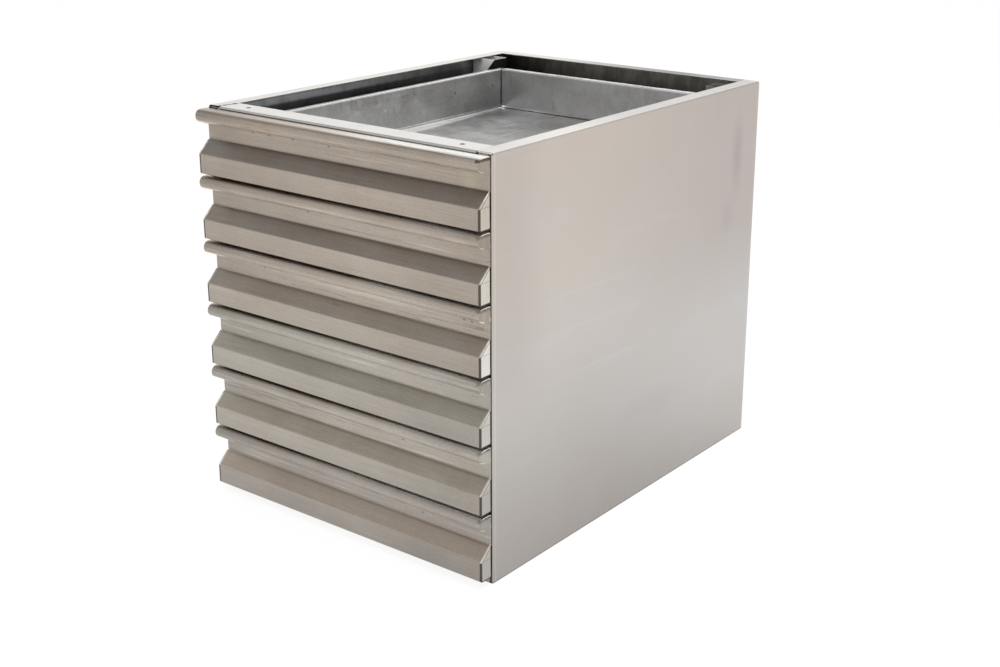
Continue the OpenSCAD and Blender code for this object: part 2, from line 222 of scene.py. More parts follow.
def build_world():
    """Soft studio. The camera sees it as white."""
    world = bpy.data.worlds.new("studio")
    bpy.context.scene.world = world
    world.use_nodes = True
    n = Nodes(world.node_tree)
    n.tree.nodes.clear()
    direction = n.add("ShaderNodeTexCoord").outputs["Generated"]
    height = n.add("ShaderNodeSeparateXYZ", inputs={"Vector": direction}).outputs["Z"]
    light = n.remap(height, 0.2, 0.7, HORIZON, OVERHEAD)
    for axis, inner, outer, gain in WALLS:
        facing = n.vector("DOT_PRODUCT", direction, Vector(axis).normalized()[:])
        patch = n.remap(facing, math.cos(math.radians(outer)), math.cos(math.radians(inner)), 0, gain)
        light = n.math("ADD", light, patch)
    light = n.math("MAXIMUM", light, 0.0)
    tint = n.mix(n.remap(height, 0.0, 0.9), (1.0, 0.975, 0.94), (0.97, 0.985, 1.0))
    studio = n.add("ShaderNodeBackground", inputs={"Color": tint, "Strength": light})
    white = n.add("ShaderNodeBackground", inputs={"Color": (1, 1, 1), "Strength": 1.0})
    camera = n.add("ShaderNodeLightPath").outputs["Is Camera Ray"]
    mixed = n.add("ShaderNodeMixShader", inputs={0: camera, 1: studio.outputs[0], 2: white.outputs[0]})
    n.set(n.add("ShaderNodeOutputWorld").inputs["Surface"], mixed.outputs[0])


build_world()


def add_lamp(name, place, target, size, power):
    """Rectangular lamp at a place, in metres, turned to a target. Power is in watts."""
    data = bpy.data.lights.new(name, "AREA")
    data.shape = "RECTANGLE"
    data.size, data.size_y = size
    data.energy = power
    lamp = bpy.data.objects.new(name, data)
    lamp.location = place
    lamp.rotation_euler = (Vector(target) - Vector(place)).to_track_quat("-Z", "Y").to_euler()
    lamp.visible_camera = False
    bpy.context.scene.collection.objects.link(lamp)


add_lamp("top_softbox", (0.6, -0.4, 3.2), (0, 0, 0.3), (2.4, 2.0), 55)

# How much of the floor glows by itself and how much shows shadows, for the camera and in polished steel
CAMERA_GLOW, CAMERA_SHADOW = 0.9, 0.14
STEEL_GLOW, STEEL_SHADOW = 0.55, 0.45
FLOOR_SIDE, FLOOR_GAP = 12, 0.0008


def build_floor():
    """Pale floor that keeps the unit's shadow. The camera sees it near white, and so does polished steel."""
    mesh = bpy.data.meshes.new("studio_floor")
    corners = ((-1, -1), (1, -1), (1, 1), (-1, 1))
    mesh.from_pydata([(FLOOR_SIDE * x, FLOOR_SIDE * y, 0) for x, y in corners], [], [(0, 1, 2, 3)])
    floor = bpy.data.objects.new("studio_floor", mesh)
    floor.location.z = -FLOOR_GAP
    bpy.context.scene.collection.objects.link(floor)
    material = bpy.data.materials.new("pale_floor")
    material.use_nodes = True
    n = Nodes(material.node_tree)
    n.tree.nodes.clear()
    path = n.add("ShaderNodeLightPath")
    polished = n.math("MAXIMUM", path.outputs["Is Glossy Ray"], path.outputs["Is Transmission Ray"])
    plain = n.add("ShaderNodeBsdfDiffuse", inputs={"Color": (0.8, 0.79, 0.78)})

    def bright(shadow, glow):
        shaded = n.add("ShaderNodeBsdfDiffuse", inputs={"Color": (shadow, shadow, shadow)})
        white = n.add("ShaderNodeEmission", inputs={"Color": (1, 1, 1), "Strength": glow})
        return n.add("ShaderNodeAddShader", inputs={0: shaded.outputs[0], 1: white.outputs[0]}).outputs[0]

    seen = n.add("ShaderNodeMixShader", inputs={0: polished, 1: plain.outputs[0],
                                                2: bright(STEEL_SHADOW, STEEL_GLOW)})
    seen = n.add("ShaderNodeMixShader", inputs={0: path.outputs["Is Camera Ray"], 1: seen.outputs[0],
                                                2: bright(CAMERA_SHADOW, CAMERA_GLOW)})
    n.set(n.add("ShaderNodeOutputMaterial").inputs["Surface"], seen.outputs[0])
    mesh.materials.append(material)


build_floor()


# ---------------------------------------------------------------- shared effects

def new_group(name, inputs, outputs):
    """Empty node group with named sockets: inputs as (name, kind, value), outputs as (name, kind)."""
    tree = bpy.data.node_groups.new(name, "ShaderNodeTree")
    for label, kind, value in inputs:
        socket = tree.interface.new_socket(label, in_out="INPUT", socket_type=kind)
        socket.default_value = value
    for label, kind in outputs:
        tree.interface.new_socket(label, in_out="OUTPUT", socket_type=kind)
    n = Nodes(tree)
    return n, n.add("NodeGroupInput").outputs, n.add("NodeGroupOutput").inputs


FLOAT, VECTOR = "NodeSocketFloat", "NodeSocketVector"


def brushed_grain():
    """Long fine lines left by the brushing belt. Stretch is small along the lines and large across."""
    n, given, out = new_group(
        "brushed_grain",
        [("Stretch", VECTOR, (1, 60, 60)), ("Seed", FLOAT, 0.0)],
        [("Tone", FLOAT), ("Height", FLOAT)])
    shifted = n.vector("ADD", n.vector("MULTIPLY", n.place(), given["Stretch"]), given["Seed"])
    fine = n.noise(shifted, 26, 3, 0.65)
    coarse = n.noise(shifted, 5, 2, 0.6)
    tone = n.math("ADD", n.times(fine, 0.55), n.times(coarse, 0.45))
    n.set(out["Tone"], n.remap(tone, 0.32, 0.68, smooth=False))
    n.set(out["Height"], fine)
    return n.tree


def wiped_streaks():
    """Long light streaks and dark hairlines along the sheet, as two masks."""
    n, given, out = new_group(
        "wiped_streaks",
        [("Stretch", VECTOR, (1, 60, 60)), ("Seed", FLOAT, 0.0)],
        [("Light", FLOAT), ("Dark", FLOAT)])
    shifted = n.vector("ADD", n.vector("MULTIPLY", n.place(), given["Stretch"]), given["Seed"])
    light = n.noise(shifted, 4.0, 3, 0.55, 0.15)
    lines = n.noise(n.vector("ADD", shifted, (7.3, 2.1, 4.4)), 3.2, 2, 0.5, 0.1)
    where = n.noise(n.vector("ADD", shifted, (1.7, 9.2, 3.3)), 1.1, 1)
    n.set(out["Light"], n.remap(light, 0.56, 0.74))
    line = n.remap(n.math("ABSOLUTE", n.math("SUBTRACT", lines, 0.52)), 0.022, 0.004)
    n.set(out["Dark"], n.times(line, n.remap(where, 0.50, 0.62)))
    return n.tree


def handling_smudges():
    """Cloudy marks of wiping and handling, from 0 to 1."""
    n, given, out = new_group(
        "handling_smudges", [("Size", FLOAT, 0.1), ("Seed", FLOAT, 0.0)],
        [("Cloud", FLOAT), ("Wipe", FLOAT)])
    shifted = n.vector("ADD", n.scaled(n.place(), n.math("DIVIDE", 1.0, given["Size"])), given["Seed"])
    cloud = n.noise(shifted, 1.0, 4, 0.55, 0.6)
    turned = n.add("ShaderNodeMapping", inputs={"Vector": shifted})
    turned.inputs["Rotation"].default_value = (0.5, 0.3, 0.6)
    turned.inputs["Scale"].default_value = (0.6, 0.6, 5.0)
    wipe = n.noise(turned.outputs[0], 1.3, 3, 0.6, 0.4)
    n.set(out["Cloud"], n.remap(cloud, 0.3, 0.7))
    n.set(out["Wipe"], n.remap(wipe, 0.56, 0.78))
    return n.tree


def water_spots():
    """Dried drops and pickling mottle: small blotches with paler rims."""
    n, given, out = new_group(
        "water_spots", [("Spacing", FLOAT, 0.02), ("Seed", FLOAT, 0.0)],
        [("Blotch", FLOAT), ("Rim", FLOAT)])
    shifted = n.vector("ADD", n.scaled(n.place(), n.math("DIVIDE", 1.0, given["Spacing"])), given["Seed"])
    bent = n.add("ShaderNodeTexNoise", inputs={"Vector": shifted, "Scale": 1.4, "Detail": 3.0})
    warped = n.vector("ADD", shifted, n.vector("MULTIPLY", bent.outputs["Color"], (0.8, 0.8, 0.8)))
    cells = n.add("ShaderNodeTexVoronoi", inputs={"Vector": warped, "Scale": 1.0, "Randomness": 1.0})
    distance = cells.outputs["Distance"]
    chosen = n.remap(n.vector("DOT_PRODUCT", cells.outputs["Color"], (0.4, 0.3, 0.3)), 0.45, 0.62)
    ring = n.times(n.remap(distance, 0.30, 0.36), n.remap(distance, 0.46, 0.38))
    n.set(out["Blotch"], n.times(n.remap(distance, 0.42, 0.26), chosen))
    n.set(out["Rim"], n.times(ring, chosen))
    return n.tree


def sparse_marks():
    """A few tiny pits and short scratches, as a mask. Stretch draws the marks out."""
    n, given, out = new_group(
        "sparse_marks",
        [("Stretch", VECTOR, (1, 1, 1)), ("Spacing", FLOAT, 0.03), ("Width", FLOAT, 0.03),
         ("Seed", FLOAT, 0.0)],
        [("Mark", FLOAT)])
    stretched = n.vector("MULTIPLY", n.place(), given["Stretch"])
    shifted = n.vector("ADD", n.scaled(stretched, n.math("DIVIDE", 1.0, given["Spacing"])), given["Seed"])
    cells = n.add("ShaderNodeTexVoronoi", inputs={"Vector": shifted, "Scale": 1.0, "Randomness": 1.0})
    chosen = n.remap(n.vector("DOT_PRODUCT", cells.outputs["Color"], (0.34, 0.33, 0.33)), 0.6, 0.66)
    near = n.remap(cells.outputs["Distance"], given["Width"], n.times(given["Width"], 0.5))
    n.set(out["Mark"], n.times(near, chosen))
    return n.tree


def soft_patch():
    """Soft oval patch at a place, in metres, from 1 at its middle to 0 at its edge."""
    n, given, out = new_group(
        "soft_patch", [("Middle", VECTOR, (0, 0, 0)), ("Reach", VECTOR, (1, 1, 1))], [("Mask", FLOAT)])
    away = n.vector("DIVIDE", n.vector("SUBTRACT", n.place(), given["Middle"]), given["Reach"])
    n.set(out["Mask"], n.remap(n.vector("LENGTH", away), 1.0, 0.0))
    return n.tree


def front_height():
    """How far a point lies below the top of its own drawer's lip, in metres, and the drawer's
    place in the stack, from 0 at the top to 1 at the foot."""
    n, given, out = new_group("front_height", [], [("Below", FLOAT), ("Stack", FLOAT)])
    down = n.math("SUBTRACT", FIRST_LIP_TOP + 0.0005, n.axis("Z"))
    n.set(out["Below"], n.math("SUBTRACT", n.math("MODULO", down, PITCH), 0.0005))
    n.set(out["Stack"], n.math("DIVIDE", down, PITCH * len(DRAWERS)))
    return n.tree


GRAIN = brushed_grain()
STREAKS = wiped_streaks()
SMUDGES = handling_smudges()
SPOTS = water_spots()
MARKS = sparse_marks()
PATCH = soft_patch()
HEIGHT = front_height()


# ---------------------------------------------------------------- finishes

class Look:
    """What a finish has so far: its colour, its shade (a factor on the colour), roughness and relief."""

    def __init__(self, n, colour, tone, height, rough):
        self.n, self.colour, self.shade, self.rough = n, colour, 1.0, rough
        self.tone, self.height, self.dish = tone, height, None

    def shade_by(self, mask, factor):
        """Darkens or lightens by a factor where the mask is 1."""
        self.shade = self.n.times(self.shade, self.n.remap(mask, 0, 1, 1, factor, smooth=False))

    def tint_by(self, mask, colour):
        """Changes the colour to another where the mask is 1."""
        self.colour = self.n.mix(mask, self.colour, colour)

    def patch(self, middle, reach, colour, share):
        """Tints a soft oval patch by a share of its colour."""
        mask = self.n.group(PATCH, Middle=middle, Reach=reach)["Mask"]
        self.tint_by(self.n.times(mask, share), colour)


def steel(name, colour, stretch, roughness=0.34, grain=0.10, cloud=0.10, cloud_size=0.09, spots=0.0,
          marks=0.25, tint=(0.93, 0.97, 1.0), bump=0.12, blur=0.0, metallic=1.0, specular=0.5, details=None,
          seed=0.0):
    """Brushed stainless steel.

    grain, cloud, spots and marks say how strongly each effect changes the colour. blur draws
    reflections out across lines that run along X. details adds what only this sheet shows.
    """
    material = bpy.data.materials.new(name)
    material.use_nodes = True
    n = Nodes(material.node_tree)
    n.tree.nodes.clear()
    lines = n.group(GRAIN, Stretch=stretch, Seed=seed)
    look = Look(n, colour, lines["Tone"], lines["Height"], roughness)
    if details:
        details(n, look)
    clouds = n.group(SMUDGES, Size=cloud_size, Seed=seed)
    pits = n.group(MARKS, Spacing=0.05, Width=0.05, Seed=seed + 1,
                   Stretch=tuple(min(1.0, 0.25 * s / max(stretch) + 0.05) * 4 for s in stretch))
    look.shade = n.times(look.shade, n.remap(look.tone, 0, 1, 1 - grain, 1 + grain, smooth=False))
    look.shade = n.times(look.shade, n.remap(clouds["Cloud"], 0, 1, 1 - cloud, 1 + cloud * 0.6, smooth=False))
    look.shade_by(clouds["Wipe"], 1 + cloud * 0.8)
    look.shade_by(pits["Mark"], 1 - marks)
    rough = n.math("ADD", n.times(n.math("SUBTRACT", look.tone, 0.5), 0.12),
                   n.math("MULTIPLY_ADD", clouds["Cloud"], 0.07, n.math("SUBTRACT", look.rough, 0.035)))
    if spots:
        drops = n.group(SPOTS, Spacing=0.016, Seed=seed)
        look.shade_by(drops["Blotch"], 1 - spots)
        look.shade_by(drops["Rim"], 1 + spots * 0.4)
        rough = n.math("MULTIPLY_ADD", drops["Blotch"], 0.12, rough)
    cool = n.mix(1.0, look.colour, tint, "MULTIPLY")
    base = n.mix(n.times(clouds["Cloud"], 0.7), look.colour, cool)
    grey = n.add("ShaderNodeCombineColor", inputs={
        "Red": look.shade, "Green": look.shade, "Blue": look.shade}).outputs[0]
    final = n.mix(1.0, base, grey, "MULTIPLY")
    relief = n.add("ShaderNodeBump", inputs={"Height": look.height, "Strength": bump, "Distance": 0.0006})
    if look.dish:
        bowl = n.add("ShaderNodeBump", inputs={"Height": look.dish, "Strength": 1.0, "Distance": 1.0})
        n.set(relief.inputs["Normal"], bowl.outputs[0])
    metal = n.add("ShaderNodeBsdfPrincipled", inputs={
        "Base Color": final, "Metallic": metallic, "Roughness": rough, "Normal": relief.outputs[0],
        "Specular IOR Level": specular})
    if blur:
        metal.inputs["Anisotropic"].default_value = blur
        tangent = n.add("ShaderNodeTangent", direction_type="RADIAL", axis="X")
        n.set(metal.inputs["Tangent"], tangent.outputs[0])
    n.set(n.add("ShaderNodeOutputMaterial").inputs["Surface"], metal.outputs[0])
    return material


# Brushing direction of a sheet: the noise is drawn out along one axis
ALONG_X, ALONG_Y, ALONG_Z = (1.2, 75, 75), (75, 1.2, 75), (75, 75, 1.2)

# Colour of each front and of its slope, from the top drawer down. The fronts differ in tone from sheet to
# sheet, the lowest one darker; the slopes' colours are painted light, lighter on each lower drawer for the
# light that the lower slopes catch.
FRONT_STOPS = [(0.0, (0.50, 0.425, 0.36)), (0.167, (0.505, 0.435, 0.37)), (0.333, (0.515, 0.45, 0.385)),
               (0.5, (0.505, 0.46, 0.405)), (0.667, (0.505, 0.455, 0.40)), (0.833, (0.45, 0.405, 0.36))]
SLOPE_PAINTED_LIGHT_STOPS = [(0.0, (0.343, 0.303, 0.265)), (0.167, (0.377, 0.333, 0.289)), (0.333, (0.413, 0.361, 0.312)),
               (0.5, (0.470, 0.430, 0.368)), (0.667, (0.494, 0.439, 0.366)), (0.833, (0.522, 0.440, 0.367))]

# Colour of the end caps of each lip and grip, from the top drawer down. Their hues and part of their
# lightness are the plates' own; the rest of the lightness from drawer to drawer is painted light, darkest on
# the lowest grips.
LIP_CAP_STOPS = [(0.0, (0.49, 0.42, 0.36)), (0.167, (0.42, 0.365, 0.31)), (0.333, (0.47, 0.41, 0.35)),
                 (0.5, (0.44, 0.40, 0.36)), (0.667, (0.54, 0.51, 0.46)), (0.833, (0.42, 0.395, 0.365))]
GRIP_CAP_STOPS = [(0.0, (0.63, 0.58, 0.49)), (0.167, (0.70, 0.655, 0.58)), (0.333, (0.80, 0.76, 0.71)),
                  (0.5, (0.62, 0.585, 0.54)), (0.667, (0.48, 0.45, 0.415)), (0.833, (0.49, 0.46, 0.42))]

# Worn and wiped places on the fronts, and one painted highlight: middle, reach, colour and share
FRONT_PATCHES = [
    ((0.232, RECESS_Y, 0.572), (0.024, 0.012, 0.026), (0.58, 0.51, 0.385), 0.7),
    ((0.228, RECESS_Y - 0.02, 0.492), (0.034, 0.016, 0.007), (0.70, 0.59, 0.47), 0.7),
    # Painted highlight along the recess under the third drawer's lip
    ((0.02, RECESS_Y, 0.378), (0.20, 0.03, 0.006), (0.68, 0.60, 0.52), 0.8),
    ((-0.13, RECESS_Y - 0.02, 0.594), (0.10, 0.012, 0.008), (0.56, 0.45, 0.35), 0.6),
    ((-0.20, RECESS_Y, 0.070), (0.07, 0.03, 0.012), (0.60, 0.55, 0.48), 0.7),
]
# Pits on the recesses, as X and Z, with the reach, colour and share of each
FRONT_PITS = [(-0.1711, 0.581), (-0.1372, 0.581), (-0.0894, 0.5815), (-0.0188, 0.5809), (-0.0652, 0.4805),
              (-0.1598, 0.3803), (0.1417, 0.0727), (0.1075, 0.1759), (0.2220, 0.3790), (0.2350, 0.3788)]
PIT_REACH, PIT_COLOUR, PIT_SHARE = (0.0040, 0.004, 0.0017), (0.14, 0.09, 0.07), 0.90


def lip_top_shadow_line(n, front, low, factor, look, at_end):
    """Painted shadow: a ragged dark line across the end of a lip's top sheet, where the sheet shades the face
    below it, weaker on the drawers below the first.
    """
    ragged_depth = n.math("ADD", front["Below"], n.times(n.noise(n.place(), 300, 2), 0.004))
    at_end = n.times(at_end, n.remap(front["Stack"], 0.10, 0.16, 1.0, 0.45))
    look.shade_by(n.times(at_end, n.between(ragged_depth, low, 0.0068, 0.0008)), factor)


def front_details(n, look):
    """Drawer fronts: cross-grinding at the ends, streaks, seams beside the caps and small pits, with painted
    light and shade on the lips, slopes and grips.
    """
    front = n.group(HEIGHT)
    below, stack = front["Below"], front["Stack"]
    side = n.axis("X")
    x = n.math("ABSOLUTE", side)
    upper = n.remap(below, 0.047, 0.044)
    on_slope = n.between(below, SLOPE_TOP, SLOPE_FOOT, 0.001)
    on_grip = n.remap(below, SLOPE_FOOT, SLOPE_FOOT + 0.001)
    far_left = n.remap(side, -0.12, -0.25)
    look.colour = n.ramp(stack, FRONT_STOPS, "CONSTANT")

    # Cross-grinding at both ends, specks, and streaks that are strongest above the slope
    across = n.group(GRAIN, Stretch=ALONG_Z, Seed=3.0)
    ragged = n.math("ADD", x, n.times(n.noise(n.place(), 60, 2), 0.03))
    ground = n.remap(ragged, 0.262, 0.272)
    look.tone = n.mix(ground, look.tone, across["Tone"])
    look.height = n.mix(ground, look.height, across["Height"])
    specks = n.noise(n.vector("MULTIPLY", n.place(), (0.35, 1, 1)), 900, 2, 0.7)
    look.shade_by(n.remap(specks, 0.40, 0.60), 0.88)
    streaks = n.group(STREAKS, Stretch=(1.6, 60, 60), Seed=5.0)
    look.shade_by(n.times(streaks["Light"], n.remap(upper, 0, 1, 0.22, 1)), 1.30)
    look.shade_by(n.times(streaks["Dark"], n.remap(upper, 0, 1, 0.13, 1)), 0.68)

    # The upper edge of each slope lies in the bend's shade, and the grip fades towards its foot
    look.shade_by(n.between(below, SLOPE_TOP - 0.001, SLOPE_TOP + 0.002, 0.0015), 0.82)
    look.shade_by(n.remap(below, 0.070, 0.095), 0.95)

    # Painted highlight: the lip's top is lightened and whitened towards the right, and so is the edge under
    # it, most of all on the third drawer. The upper front is painted darker at the far left as shade.
    on_top = n.remap(below, 0.0016, 0.0009)
    look.shade_by(n.times(on_top, n.remap(side, -0.30, 0.15)), 1.45)
    look.tint_by(n.times(on_top, n.remap(side, -0.10, 0.17)), (0.72, 0.69, 0.65))
    edge = n.between(below, 0.0160, 0.0206, 0.0012)
    third = n.between(stack, 0.34, 0.48, 0.01)
    look.shade_by(edge, 1.55)
    look.shade_by(n.times(edge, third), 1.30)
    look.shade_by(n.times(far_left, upper), 0.88)

    # Slopes take their painted-light colours, painted lighter still at the far left. The grips' ends show the
    # seam beside the cap, and the slopes' ends have a painted highlight.
    look.tint_by(on_slope, n.ramp(stack, SLOPE_PAINTED_LIGHT_STOPS, "CONSTANT"))
    look.shade_by(n.times(on_slope, far_left), 1.12)
    at_end = n.remap(x, END_X - 0.0030, END_X - 0.0022)
    look.shade_by(n.times(at_end, n.between(below, SLOPE_FOOT + 0.001, GRIP_FOOT, 0.0008)), 0.25)
    look.shade_by(n.times(n.remap(x, END_X - 0.003, END_X - 0.002), on_slope), 1.9)
    # Painted shadow under the right end of the lip's top sheet
    lip_top_shadow_line(n, front, 0.0045, 0.30, look, n.remap(side, 0.2590, 0.2605))

    # Light pools right of the middle on the recesses, and the lower grips fade to the right
    pool = n.times(n.between(side, 0.01, 0.13, 0.12), n.remap(stack, 0.05, 0.20))
    look.shade_by(n.times(upper, pool), 1.08)
    fading = n.times(n.remap(side, 0.06, 0.20), n.remap(stack, 0.15, 0.7))
    look.shade_by(n.times(on_grip, fading), 0.87)
    lit = n.times(n.between(side, 0.0, 0.12, 0.12), n.remap(stack, 0.5, 0.2))
    look.shade_by(n.times(on_grip, lit), 1.08)
    for middle, reach, colour, share in FRONT_PATCHES:
        look.patch(middle, reach, colour, share)
    for pit_x, pit_z in FRONT_PITS:
        look.patch((pit_x, RECESS_Y, pit_z), PIT_REACH, PIT_COLOUR, PIT_SHARE)


def cap_details(n, look):
    """End caps: bright brushed plates in the grips, ground and discoloured ones in the lips, with painted
    shadow under the lips' top sheets and painted shade and highlight beside the beads.
    """
    front = n.group(HEIGHT)
    below = front["Below"]
    y = n.axis("Y")
    lip = n.remap(below, 0.035, 0.030)
    plate = n.math("SUBTRACT", 1.0, lip)
    lip_colour = n.ramp(front["Stack"], LIP_CAP_STOPS, "CONSTANT")
    plate_colour = n.ramp(front["Stack"], GRIP_CAP_STOPS, "CONSTANT")
    look.colour = n.mix(lip, plate_colour, lip_colour)
    # Painted shadow under the lip's top sheet, on the right caps
    lip_top_shadow_line(n, front, 0.0040, 0.35, look, n.remap(n.axis("X"), -0.1, 0.1))

    # Lip caps are ground in yellowish patches
    ground = n.remap(n.noise(n.vector("MULTIPLY", n.place(), (1, 1, 0.2)), 260, 2), 0.5, 0.7)
    look.tint_by(n.times(n.times(lip, ground), 0.5), (0.62, 0.54, 0.40))
    look.rough = n.math("MULTIPLY_ADD", lip, 0.20, look.rough)

    # Scribed line at the slope's foot, and a dark seam down the front edge
    look.shade_by(n.between(below, SLOPE_FOOT - 0.0002, SLOPE_FOOT + 0.0004, 0.0003), 0.6)
    front_edge = n.times(n.remap(y, GRIP_Y + 0.0030, GRIP_Y + 0.0022),
                         n.remap(below, SLOPE_FOOT, SLOPE_FOOT + 0.001))
    look.shade_by(front_edge, 0.25)

    # Painted shade of the bead's undercut and a painted highlight on the bead, along the sloping edge, by the
    # distance inside that edge
    inside = n.math("ADD", n.times(n.math("SUBTRACT", y, RECESS_Y), SLOPE_NORMAL[0]),
                    n.times(n.math("SUBTRACT", below, SLOPE_TOP), SLOPE_NORMAL[1]))
    look.shade_by(n.times(plate, n.between(inside, 0.0024, 0.0030, 0.0004)), 0.40)
    look.shade_by(n.times(plate, n.between(inside, 0.0037, 0.0042, 0.0005)), 1.30)


# Colour of a side panel's outer face up its front and its rear, as shares of its height. Painted shade
# darkens it towards the foot, most near the front.
SIDE_FRONT_STOPS = [(0.02, (0.42, 0.39, 0.36)), (0.16, (0.46, 0.43, 0.40)), (0.33, (0.53, 0.50, 0.465)),
                    (0.52, (0.61, 0.57, 0.535)), (0.70, (0.625, 0.575, 0.52)), (0.98, (0.65, 0.58, 0.52))]
SIDE_REAR_STOPS = [(0.02, (0.53, 0.505, 0.48)), (0.20, (0.58, 0.555, 0.53)), (0.40, (0.60, 0.57, 0.545)),
                   (0.62, (0.55, 0.50, 0.465)), (0.98, (0.58, 0.52, 0.47))]
# Stains on the right side: middle, reach and colour, all with the same share
SIDE_PATCHES = [
    ((CASE_SIDE_X, -0.16, 0.43), (0.08, 0.12, 0.07), (0.64, 0.57, 0.49)),
    ((CASE_SIDE_X, 0.30, 0.50), (0.05, 0.025, 0.09), (0.40, 0.36, 0.37)),
    ((CASE_SIDE_X, 0.275, 0.40), (0.05, 0.03, 0.04), (0.47, 0.42, 0.43)),
    ((CASE_SIDE_X, 0.05, 0.14), (0.06, 0.16, 0.04), (0.50, 0.46, 0.44)),
]
SIDE_PATCH_SHARE = 0.5
# Middles of three long wiped lines on the sides, as Y and Z
SIDE_LINES = [(-0.09, 0.378), (-0.12, 0.327), (-0.09, 0.2555)]
# Colours of the case's upper flanges, and of its inner faces near the open top and further down. The inner
# faces are painted dark as shade near the open top, the back's darkest on the left.
FLANGE_COLOUR = (0.60, 0.585, 0.56)
DEEP_Z, NEAR_TOP_Z = 0.40, 0.57
SIDE_INSIDE, SIDE_DEEP = (0.23, 0.23, 0.235), (0.42, 0.41, 0.40)
BACK_INSIDE_LEFT, BACK_INSIDE_RIGHT = (0.18, 0.155, 0.135), (0.46, 0.43, 0.39)
BACK_DEEP = (0.44, 0.43, 0.41)


def flange_top(n):
    """Mask of the upper face of the case's flanges."""
    return n.remap(n.axis("Z"), CASE_TOP_Z - 0.0014, CASE_TOP_Z - 0.0008)


def side_details(n, look):
    """Side panels: warm and cool zones of the large outer face, painted shade towards its foot and front,
    wiped lines, and an inner face painted dark as shade.
    """
    y, z = n.axis("Y"), n.axis("Z")
    x = n.math("ABSOLUTE", n.axis("X"))
    height = n.math("DIVIDE", z, CASE_TOP_Z)
    low = n.remap(z, 0.20, 0.02, 0.0, 0.16)
    look.colour = n.mix(n.remap(n.math("SUBTRACT", y, low), -0.20, 0.30),
                        n.ramp(height, SIDE_FRONT_STOPS), n.ramp(height, SIDE_REAR_STOPS))
    # Painted shade along the front of the outer face, above its lower part
    look.shade_by(n.times(n.remap(y, -0.20, -0.30), n.remap(z, 0.22, 0.32)), 0.92)
    for middle, reach, colour in SIDE_PATCHES:
        look.patch(middle, reach, colour, SIDE_PATCH_SHARE)
    for middle_y, middle_z in SIDE_LINES:
        line = n.math("ADD", z, n.times(n.math("SUBTRACT", y, middle_y), 0.02))
        mask = n.times(n.between(line, middle_z - 0.0007, middle_z + 0.0007, 0.0016),
                       n.between(y, middle_y - 0.10, middle_y + 0.07, 0.08))
        look.shade_by(mask, 1.035)

    # Painted highlight on the front fold, painted shadow in the gap beside the drawer fronts, and painted
    # shade on the fold at the rear
    look.shade_by(n.between(y, CASE_FRONT_Y + 0.0051, CASE_FRONT_Y + 0.0069, 0.002), 1.10)
    on_front_fold = n.remap(y, CASE_FRONT_Y + 0.0038, CASE_FRONT_Y + 0.0031)
    look.shade_by(n.times(on_front_fold, n.between(x, END_X - 0.00355, END_X + 0.00035, 0.0005)), 0.20)
    on_rear_fold = n.remap(y, CASE_BACK_Y - 0.0037, CASE_BACK_Y - 0.0031)
    look.shade_by(n.times(on_rear_fold, n.remap(x, CASE_SIDE_X - 0.0035, CASE_SIDE_X - 0.0010)), 0.72)

    # Painted shade in the unfilled corner at the top of the left front edge, a lighter strip near the rear
    # edge, and painted shade along the foot
    at_left = n.times(n.remap(n.axis("X"), -0.1, -0.2),
                      n.remap(y, CASE_FRONT_Y + 0.0047, CASE_FRONT_Y + 0.0035))
    look.shade_by(n.times(at_left, n.remap(z, CASE_TOP_Z - 0.0055, CASE_TOP_Z - 0.0040)), 0.12)
    look.shade_by(n.remap(y, 0.353, 0.3585), 1.06)
    look.shade_by(n.remap(z, 0.0022, 0.0008), 0.62)

    # Upper flange, painted darker to the rear on the right as shade
    top = flange_top(n)
    look.tint_by(top, FLANGE_COLOUR)
    right = n.times(top, n.remap(n.axis("X"), 0.20, 0.22))
    look.shade_by(n.times(right, n.remap(y, -0.20, 0.03)), 0.73)
    look.shade_by(n.times(right, n.remap(y, 0.05, 0.33)), 0.88)

    # Inner face, painted dark as shade near the open top and mottled, with a painted reflection as a bright
    # streak along its upper edge
    outer = n.remap(x, CASE_SIDE_X - 0.0011, CASE_SIDE_X - 0.0005)
    returns = n.math("MAXIMUM", n.remap(y, CASE_BACK_Y - 0.0035, CASE_BACK_Y - 0.0031),
                     n.remap(y, CASE_FRONT_Y + 0.0035, CASE_FRONT_Y + 0.0031))
    outside = n.math("MAXIMUM", n.math("MAXIMUM", outer, top), returns)
    inner = n.math("SUBTRACT", 1.0, outside)
    look.tint_by(inner, n.mix(n.remap(z, NEAR_TOP_Z, DEEP_Z), SIDE_INSIDE, SIDE_DEEP))
    streak = n.times(n.between(z, 0.594, 0.600, 0.005), n.remap(y, 0.22, -0.10, 0.15, 1.0))
    look.tint_by(n.times(inner, streak), (0.95, 0.97, 1.0))
    mottled = n.noise(n.place(), 45, 4, 0.6)
    look.shade_by(n.times(inner, n.remap(mottled, 0.4, 0.7)), 0.75)
    specks = n.noise(n.vector("MULTIPLY", n.place(), (1, 0.4, 1)), 160, 2)
    look.shade_by(n.times(top, n.remap(specks, 0.6, 0.75)), 0.9)


